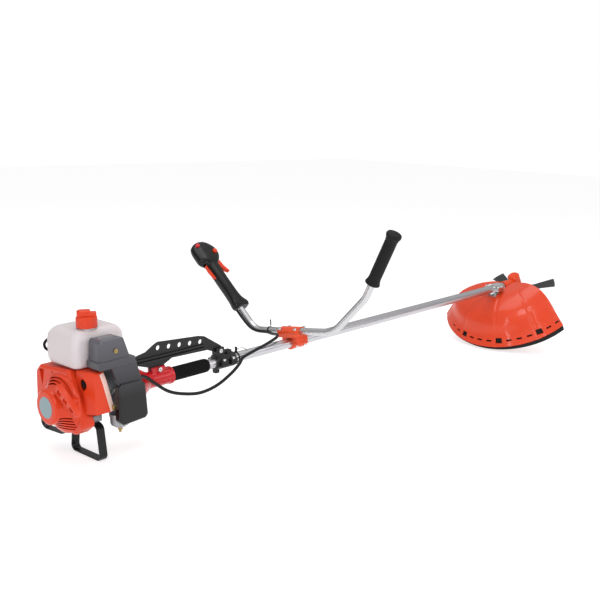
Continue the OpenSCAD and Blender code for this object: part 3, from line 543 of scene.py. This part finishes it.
# the bevel along the cover's front edge, painted pale as a painted highlight of a softbox
cover.data.materials.append(MATS["orange_pale"])
# the faces of the front bevel get the painted highlight
for face in cover.data.polygons:
    if face.normal.dot(Vector((0.385, -0.923, 0))) > 0.985:
        face.material_index = 1


# ------------------------------------------------------------------ tank and cap
def tank_level(d_x0, d_x1, d_y0, d_y1, r):
    return rounded([(-290 + d_x0, -50 + d_y0), (-157 - d_x1, -50 + d_y0), (-157 - d_x1, 68 - d_y1),
                    (-290 + d_x0, 68 - d_y1)], r, n=7)


tank = loft("milk_tank", [(tank_level(*[d] * 2, 0.6 * d if z > 128 else d, d, r), z) for d, r, z in (
    (30, 10, 80.3), (9, 14, 80.3), (4, 15, 82), (1.5, 16, 87), (0.3, 17, 96), (0, 17, 110), (0, 17, 128),
    (0.8, 17, 140), (3.5, 17, 149), (8, 17, 155.5), (14, 16, 160), (21, 14, 162.3), (30, 10, 163))],
            "chassis", "tank_plastic", nodes=("fuel_tank",), subdiv=1)
revolve("tank_neck", [(160, 18), (178, 18), (178, 15.2), (160, 15.2)],
        upright(CAP_X, CAP_Y), "chassis", "tank_plastic", slot="tank_plastic", steps=48)


def cap_at(s, u, v):
    return at(CAP_X + u, CAP_Y + v, s - 3.5)


def crown_at(u, v, w):
    """The crown is turned about the cap's axis."""
    return cap_at(w, u * 0.84 + v * 0.54, -u * 0.54 + v * 0.84)


cap_profile = [(168.6, 19), (168.6, 22), (169.4, 23), (172, 23), (172.6, 22.4), (190, 22), (191.4, 21.6),
               (192.4, 20.4), (192.5, 0.01)]
cap = revolve("fuel_cap_shell", cap_profile, cap_at, "cap", "orange_plastic", nodes=("fuel_cap",), steps=64)
ribs = []
for k in range(24):
    a = 2 * math.pi * k / 24
    ring = [(22.0 + 0.9 * math.cos(t), 1.5 * math.sin(t)) for t in (-1.57, -0.9, -0.3, 0.3, 0.9, 1.57)]
    rr = [[cap_at(z, p * math.cos(a) - q * math.sin(a), p * math.sin(a) + q * math.cos(a)) for p, q in ring]
          for z in (172.6, 189.5, 190.6)]
    ribs.append(piece("rib", *skin(rr), None, "orange_plastic", slot="orange_plastic"))
crown_line = rounded([(-20.5, -10.5), (9, -10.5), (9, 10.5), (-20.5, 10.5)], [9.5, 4, 4, 9.5], n=5)
crown = puff("crown", crown_line, 191.5, 206.3, 0.0, 3.8, crown_at, None, "orange_plastic",
             slot="orange_plastic")
step = puff("step", rounded([(-4, -12), (21.4, -9), (21.4, 9), (-4, 12)], 2.5), 191.5, 201, 0.0, 1.6,
            crown_at, None, "orange_plastic", slot="orange_plastic")
merge(cap, *ribs, crown, step)

hose = [(-262, 66, 128), (-268, 88, 122), (-270, 101, 108), (-262, 101, 94), (-240, 80, 86), (-200, 78, 84),
        (-174, 72, 79), (-169, 60, 69), (-168, 20, 66), (-168, -20, 66), (-170, -50, 64), (-172, -76, 46),
        (-170, -82, 20), (-172, -78, -8), (-177, -68, -26)]
sweep("fuel_line", [at(*p) for p in smooth_path(hose, 6)], disc(3.2, 16), "chassis", "black_rubber",
      nodes=("fuel_hose",), sharp=60)

# ------------------------------------------------------------------ air cleaner
box_line = rounded([(-263, 94), (-260, 143), (-256, 149), (-204, 149), (-198, 146), (-180, 94)],
                   [6, 7, 7, 8, 8, 6], n=4)
puff("cleaner_lid", box_line, -58, -100, 1, 5, xz, "chassis", "grey_plastic", nodes=("air_cleaner_cover",))
rim_line = rounded([(-266, 85), (-266, 103.5), (-174, 103.5), (-172, 100), (-172, 85)], 3.4, n=3)
puff("cleaner_rim", rim_line, -56, -103, 1.5, 3, xz, "chassis", "grey_plastic", slot="grey_plastic")
neck_line = rounded([(-234, 92), (-218, 44), (-212, 30), (-151, 30), (-169, 92)], 4.2, n=4)
puff("duct_neck", neck_line, -90, -101, 0.5, 3.5, xz, "chassis", "grey_plastic", slot="grey_plastic")
duct_line = rounded([(-221, 40), (-222, -36), (-212, -46), (-153, -42), (-146, -34), (-151, 38), (-160, 45),
                     (-212, 47)], [6, 8, 6, 6, 8, 8, 7, 7], n=5)
puff("duct_box", duct_line, -89.6, -108, 1.5, 5, xz, "chassis", "grey_plastic", nodes=("air_duct",))
revolve("bowl", [(-34, 22), (-34, 23), (-36, 23), (-37, 21.6), (-52, 21.2), (-56, 19.5), (-58.6, 15), (-61, 12),
                 (-62, 0.01)], upright(CARB_X, CARB_Y), "chassis", "cast_aluminium",
        nodes=("float_bowl",), steps=48)
revolve("brass_fitting", [(0, 0.01), (0, 5.5), (1, 6.2), (7, 6.2), (8, 5), (15, 5), (15.5, 4.4), (15.5, 0.01)],
        lambda s, u, v: at(-226 + s, -84 + u, -8 + v), "chassis", "brass", slot="brass", steps=12)


# ------------------------------------------------------------------ straps
def bend_line(points, r, n=6):
    """A line through the points with its corners rounded."""
    out = [Vector(points[0])]
    for i in range(1, len(points) - 1):
        p, a, b = Vector(points[i]), Vector(points[i - 1]), Vector(points[i + 1])
        c = min(r, 0.45 * (a - p).length, 0.45 * (b - p).length)
        s, e = p + (a - p).normalized() * c, p + (b - p).normalized() * c
        out += [(s * (1 - t) ** 2 + 2 * p * t * (1 - t) + e * t * t) for t in [k / n for k in range(n + 1)]]
    out.append(Vector(points[-1]))
    return out


def strap_sweep(name, x0, width, t, points, r, nodes):
    """Flat strap in a YZ plane: the section's width is along X, and e is the size of its broken edges."""
    line = bend_line(points, r)
    e, rings = 0.7, []
    for i, p in enumerate(line):
        d = (line[min(i + 1, len(line) - 1)] - line[max(i - 1, 0)]).normalized()
        nrm = Vector((-d.y, d.x))
        ring = []
        for a, b in ((e, -1), (width - e, -1), (width, -1 + 2 * e / t), (width, 1 - 2 * e / t), (width - e, 1),
                     (e, 1), (0, 1 - 2 * e / t), (0, -1 + 2 * e / t)):
            q = p + nrm * (b * t / 2)
            ring.append(at(x0 + a, q.x, q.y))
        rings.append(ring)
    piece(name, *skin(rings), "chassis", "black_paint", nodes, sharp=30)


strap_sweep("foot_strap", -243, 20, 4, [(-24, -54), (-36, -54), (-46, -60), (-55, -125), (-48, -133), (48, -133),
                                        (55, -125), (46, -60), (36, -54), (24, -54)], 5, ("stand",))
strap_sweep("side_strap", -262, 18, 3.5, [(28, -53.75), (46, -84), (62, -94), (132, -98), (146, -90), (148, -30),
                                          (138, -10), (106, -6)], 12, ("muffler_guard",))

# ------------------------------------------------------------------ grips and bar
revolve("foam_sleeve", [(0.5, 13.1), (0.5, 15), (2, 16.6), (4, 17), (106, 17), (110, 16.4), (113, 15),
                        (114.3, 13.1)], at, "chassis", "foam", nodes=("foam_grip",), slot="black_rubber", steps=64)

# corners of the handlebar in its own plane, and the radius of the bend at each
BAR = [(-376, 246), (-268, 92), (-150, 3), (145, 0), (345, 228)]
BEND = [0, 90, 90, 60, 0]


def bar_path(n=8):
    out = [Vector(BAR[0])]
    for i in range(1, 4):
        p, a, b = Vector(BAR[i]), Vector(BAR[i - 1]), Vector(BAR[i + 1])
        da, db = (a - p).normalized(), (b - p).normalized()
        half = da.angle(db) / 2
        c = BEND[i] / math.tan(half)
        mid = p + (da + db).normalized() * (BEND[i] / math.sin(half))
        s, e = p + da * c - mid, p + db * c - mid
        turn = s.angle(e) * (1 if s.x * e.y - s.y * e.x > 0 else -1)
        for k in range(n + 1):
            t = turn * k / n
            out.append(mid + turned(s, t))
    out.append(Vector(BAR[4]))
    return out


bar_line = [at_bar(0, p.x, p.y + BAR_RISE) for p in bar_path()]
sweep("bent_bar", bar_line, disc(BAR_R, 40), "chassis", "bar_tube", nodes=("handlebar",), up=(1, 0, 0), sharp=60)


def bar_end_frame(i, j):
    a, b = Vector(BAR[i]), Vector(BAR[j])
    d = (a - b).normalized()
    return a, d, Vector((-d.y, d.x))


def on_bar_end(i, j, forward, along, across):
    a, d, n = bar_end_frame(i, j)
    p = a + d * along + n * across
    return at_bar(forward, p.x, p.y + BAR_RISE)


def plain_at(s, u, v):
    return on_bar_end(0, 1, v, s, u)


plain_profile = [(4, 0.01), (4, 15), (3, 18), (0, 19.6), (-4, 19.2), (-9, 17.2), (-15, 15.9), (-18, 15.5)]
for k in range(15):
    s = -22 - k * 7
    plain_profile += [(s, 15.5), (s - 2.4, 15.6), (s - 3.2, 14.9), (s - 4.2, 14.9), (s - 5.0, 15.6)]
plain_profile += [(-128, 15.8), (-134, 17.2), (-139, 19), (-141, 19.4), (-142, 18), (-142, 9.6)]
revolve("plain_handle", plain_profile, plain_at, "chassis", "black_rubber", nodes=("plain_grip",), steps=64,
        sharp=50)

GRIP_BASE = 214.0


def grip_at(u, v, w):
    """u forward, v along the bar, w towards the middle of the machine."""
    return on_bar_end(4, 3, u, v - GRIP_BASE, w)


# stations of the grip along the bar: v, rear edge, front edge, half thickness
GRIP = [(-10, -13, 23, 13.0), (-8.5, -17, 29, 14.8), (-4, -21, 33.5, 15.4), (4, -21, 34, 15.5),
        (9, -20, 31, 15.5), (15, -18.5, 26, 15.5), (26, -17, 22, 15.5), (45, -16, 20, 15.5),
        (80, -16, 20, 15.5), (120, -16, 20.5, 15.5), (146, -16.5, 22, 15.5), (154, -20, 27, 15.8),
        (161, -29, 34, 16.6), (168, -34, 40, 17), (180, -35, 47, 17), (194, -35, 50, 17),
        (206, -33.5, 47.5, 17), (217, -30, 40, 16.6), (225, -24, 31, 15.6), (230, -15, 22, 13.5),
        (231.5, -8, 15, 11)]


def half_section(u0, u1, h, side, n=22, power=2.9):
    """Half of a squared oval, for the shell on one side of the grip's parting line."""
    mid, a = (u0 + u1) / 2, (u1 - u0) / 2
    out = []
    for k in range(n + 1):
        t = math.pi * k / n
        c, s = math.cos(t), max(math.sin(t), 0.0)
        out.append((mid + math.copysign(a * abs(c) ** (2 / power), c), side * (0.2 + h * s ** (2 / power))))
    return out


dense = smooth_path([(v, u0, u1) for v, u0, u1, h in GRIP], 4)
thick = smooth_path([(v, h, 0) for v, u0, u1, h in GRIP], 4)
for name, side, node_name in (("grip_shell_near", 1, "throttle_grip_inner"),
                              ("grip_shell_far", -1, "throttle_grip_outer")):
    rings = [[grip_at(u, d.x, w) for u, w in half_section(d.y, d.z, t.y, side)] for d, t in zip(dense, thick)]
    shell = piece(name, *skin(rings), "chassis", "black_plastic", nodes=(node_name,), sharp=50)
    cuts = [prism_cutter([(18, 117), (60, 117), (60, 177), (18, 177)], -6.2, 6.2, grip_at),
            prism_cutter([(-40, 101), (-11, 101), (-11, 157), (-40, 157)], -5.2, 5.2, grip_at)]
    if side == 1:
        cuts.append(prism_cutter([(-16 + a, 216 + b) for a, b in disc(7.0, 28)], 11, 30, grip_at))
        cuts.append(prism_cutter([(30 + a, 188 + b) for a, b in disc(8.2, 28)], 11, 30, grip_at))
    cut(shell, *cuts)
trig = rounded([(23, 176), (31, 177), (38, 160), (40, 142), (47, 124), (49, 120), (43, 119), (32, 128), (27, 140),
                (24, 165)], [2, 3, 8, 10, 3, 1, 1, 6, 6, 4], n=4)
puff("trigger", trig, -5.2, 5.2, 1.6, 1.6, grip_at, "trigger", "orange_plastic", nodes=("throttle_trigger",))
lever = rounded([(-11.6, 102), (-14, 102), (-20, 108), (-23.5, 130), (-22.5, 150), (-18, 154), (-17, 130),
                 (-14, 112), (-11.6, 110)], [1, 1, 3, 8, 2, 1, 5, 3, 1], n=4)
puff("lockout", lever, -4.2, 4.2, 1.2, 1.2, grip_at, "lockout", "orange_plastic", nodes=("lockout_lever",))
for name, u0, v0, r, top, body, mat, node_name in (
        ("stop_key_cap", -16, 216, 6, 21, "stop_key", "red_plastic", "stop_button"),
        ("lock_key_cap", 30, 188, 7, 22, "lock_key", "orange_plastic", "lock_button")):
    revolve(name, [(10, 0.01), (10, r), (top - 2.2, r), (top - 0.7, r - 0.7), (top, r - 2.4), (top - 0.6, 0.01)],
            lambda s, u, v, u0=u0, v0=v0: grip_at(u0 + u, v0 + v, s), body, mat, nodes=(node_name,), steps=40)

# ------------------------------------------------------------------ cable
run = [(-194, -66, 22), (-182, -64, 36), (-144, -56, 38), (-104, -43, 26), (-75, -40, 4), (-36, -38, -24),
       (8, -36, -41), (62, -36, -51), (116, -36, -44), (166, -34, -24), (198, -28, -8), (214, -22, 2),
       (244, -20, 9), (300, -18, 20), (346, -8, 27), (372, 16, 26), (388, 48, 19), (402, 87, 15),
       (402, 126, 12), (402, 152, 18), (402, 178, 35), (402.5, 204, 56)]
sweep("throttle_sleeve", [at(*p) for p in smooth_path(run, 8)], disc(4, 20), "chassis", "cable_jacket",
      nodes=("throttle_cable",), sharp=60)
TIE = [(-1.6, -0.5), (1.6, -0.5), (1.6, 0.5), (-1.6, 0.5)]
sweep("tie_tail", smooth_path([at(418, 86, 30), at(416, 84, 40), at(411, 80, 48), at(409, 76, 50)], 4),
      TIE, "chassis", "black_plastic", slot="black_plastic")
sweep("tie_tail_low", smooth_path([at(211, 4, 14.5), at(214, -8, 24), at(220, -18, 26), at(226, -26, 20)], 4),
      TIE, "chassis", "black_plastic", slot="black_plastic")

# ------------------------------------------------------------------ guard
GUARD_BACK = 35.0   # the bell's axis lies this far behind the arbor
SLOT_STEP = 8.75    # degrees between two slots


def guard_place(s, u, v):
    return at_head(-GUARD_BACK + u, v, s)


def smooth2(points, n=4):
    return [(p.x, p.y) for p in smooth_path([(a, b, 0) for a, b in points], n)]


# the bell's outer profile: radius and height above the blade
guard_line = [(22, 36), (40, 44), (62, 48), (90, 49), (120, 45), (148, 37), (172, 24), (192, 4), (208, -18),
              (224, -37), (238, -53)]
top = smooth2(guard_line, 4)


def guard_point(r, w, a):
    """A point of the bell at radius r, height w and angle a, with slight radial folds every 36 degrees."""
    fold = 1.3 * max(0.0, 1 - abs(((a + 3) % 36) - 18) / 2.5) * min(1, max(0, (r - 70) / 50))
    t = math.radians(180 + a)
    # the operator's left shoulder is fuller than the right one
    w += 7.0 * min(1, max(0, (a + 30) / 90)) * math.sin(math.pi * min(1, max(0, (r - 60) / 150)))
    return guard_place(w - fold, (r - fold * 0.6) * math.cos(t), (r - fold * 0.6) * math.sin(t))


rings = []
inner = [(r - 1.8, w - 2.6) for r, w in reversed(top)]
for a in range(-60, 89):
    rings.append([guard_point(r, w, a) for r, w in top + inner])
guard = piece("bell_guard", *skin(rings), "chassis", "guard_orange", nodes=("guard",), sharp=50)


def sector(i, half, w0, w1):
    """Cutter for the slot at step i, half its width in degrees, from height w0 to w1."""
    a0, a1 = SLOT_STEP * i - half, SLOT_STEP * i + half
    pts = [(r, math.radians(180 + a)) for r, a in ((196, a0), (236, a0), (236, a1), (196, a1))]
    return prism_cutter([(r * math.cos(t), r * math.sin(t)) for r, t in pts], w0, w1,
                        lambda u, v, w: guard_place(w, u, v))


# narrow slots, with a taller window at every fourth
slots = [sector(i, 2.3, -41.5, -36) if (i + 2) % 4 else sector(i, 2.8, -45.5, -31) for i in range(-4, 9)]
edge = smooth2([(-44, -8), (-46, -60), (-52, -100), (-62, -140), (-80, -180), (-100, -215), (-125, -262)], 4)
slots.append(prism_cutter(edge + [(60, -262), (60, -8)], -120, 90, at_head))
# channel for the drive tube
slots.append(prism_cutter(disc(18.5, 40), REACH - 200, REACH - 20, lambda u, v, w: at(w, u, v)))
cut(guard, *slots)
# rubber skirt, with a lower edge that slopes with the floor
skirt_rings = []
for i in range(89):
    a = math.radians(180 - 59.5 + 1.5 * i)
    low = min(-63 + 236 * math.sin(a) * math.tan(math.radians(3)), -59.5)
    line = [(204.5, -23), (220.5, -42), (232.5, -56), (235, -57.5), (236, -59), (236, low + 1), (235, low),
            (232, low), (229, -58), (217, -46), (201, -25)]
    skirt_rings.append([guard_place(w, r * math.cos(a), r * math.sin(a)) for r, w in line])
piece("rubber_skirt", *skin(skirt_rings), "chassis", "black_rubber", nodes=("guard_skirt",), sharp=30)

# ------------------------------------------------------------------ stage
SLOPE = -0.060 / 1.58   # the floor falls from the stand's foot to the skirt
FAR = 9.0
floor_verts = [(x, y, SLOPE * x - 0.0005)
               for x, y in ((-FAR, -FAR), (FAR + 2, -FAR), (FAR + 2, FAR), (-FAR, FAR))]
fm = bpy.data.meshes.new("floor")
fm.from_pydata(floor_verts, [], [(0, 1, 2, 3)])
floor = bpy.data.objects.new("floor", fm)
bpy.context.collection.objects.link(floor)
floor_mat = bpy.data.materials.new("paper")
floor_mat.use_nodes = True
fp = floor_mat.node_tree.nodes["Principled BSDF"]
fp.inputs["Base Color"].default_value = (0.55, 0.55, 0.55, 1)
fp.inputs["Emission Color"].default_value = (1, 1, 1, 1)
fp.inputs["Emission Strength"].default_value = 0.62
fp.inputs["Roughness"].default_value = 0.85
fp.inputs["Specular IOR Level"].default_value = 0.1
fm.materials.append(floor_mat)

world = bpy.data.worlds.new("studio")
bpy.context.scene.world = world
world.use_nodes = True
# the lens sees plain white; the machine is lit by a sky that fades towards the ground
wn, wl = world.node_tree.nodes, world.node_tree.links.new
ray, sky, split = wn.new("ShaderNodeLightPath"), wn.new("ShaderNodeTexCoord"), wn.new("ShaderNodeSeparateXYZ")
fade, choose = wn.new("ShaderNodeMapRange"), wn.new("ShaderNodeMix")
wl(sky.outputs["Generated"], split.inputs[0])
wl(split.outputs["Z"], fade.inputs["Value"])
fade.inputs["From Min"].default_value = -0.1
fade.inputs["From Max"].default_value = 0.8
fade.inputs["To Min"].default_value = 0.22
fade.inputs["To Max"].default_value = 0.72
wl(ray.outputs["Is Camera Ray"], choose.inputs["Factor"])
wl(fade.outputs["Result"], choose.inputs["A"])
choose.inputs["B"].default_value = 1.0
wl(choose.outputs["Result"], wn["Background"].inputs["Strength"])
wn["Background"].inputs["Color"].default_value = (1, 1, 1, 1)


def softbox(name, where, target, w, h, power):
    data = bpy.data.lights.new(name, "AREA")
    data.shape = "RECTANGLE"
    data.size, data.size_y, data.energy = w, h, power
    ob = bpy.data.objects.new(name, data)
    bpy.context.collection.objects.link(ob)
    ob.location = where
    ob.rotation_mode = "QUATERNION"
    ob.rotation_quaternion = (Vector(target) - Vector(where)).to_track_quat("-Z", "Y")


softbox("key", (-1.6, -2.2, 2.6), (0.4, 0, 0.1), 1.6, 1.6, 42)
softbox("top", (0.8, 0.4, 3.0), (0.8, 0, 0), 3.2, 1.6, 34)
softbox("fill", (2.4, -2.6, 1.4), (1.1, 0, 0.1), 1.6, 1.6, 16)
softbox("strip_left", (-2.2, -0.7, 0.5), (0, 0, 0.15), 0.22, 1.8, 9)
softbox("strip_right", (0.1, -2.3, 0.6), (0.1, 0, 0.15), 0.22, 1.8, 7)

cam_data = bpy.data.cameras.new("camera")
cam_data.lens, cam_data.sensor_width = 58.8, 36
cam = bpy.data.objects.new("camera", cam_data)
bpy.context.collection.objects.link(cam)
cam.location = (-1.1557, -1.7701, 0.8124)
cam.rotation_mode = "QUATERNION"
cam.rotation_quaternion = Vector((0.70199, 0.67823, -0.21726)).to_track_quat("-Z", "Y")
cam_data.clip_end = 50
scene = bpy.context.scene
scene.camera = cam
scene.view_settings.view_transform = "Standard"
scene.view_settings.look = "None"
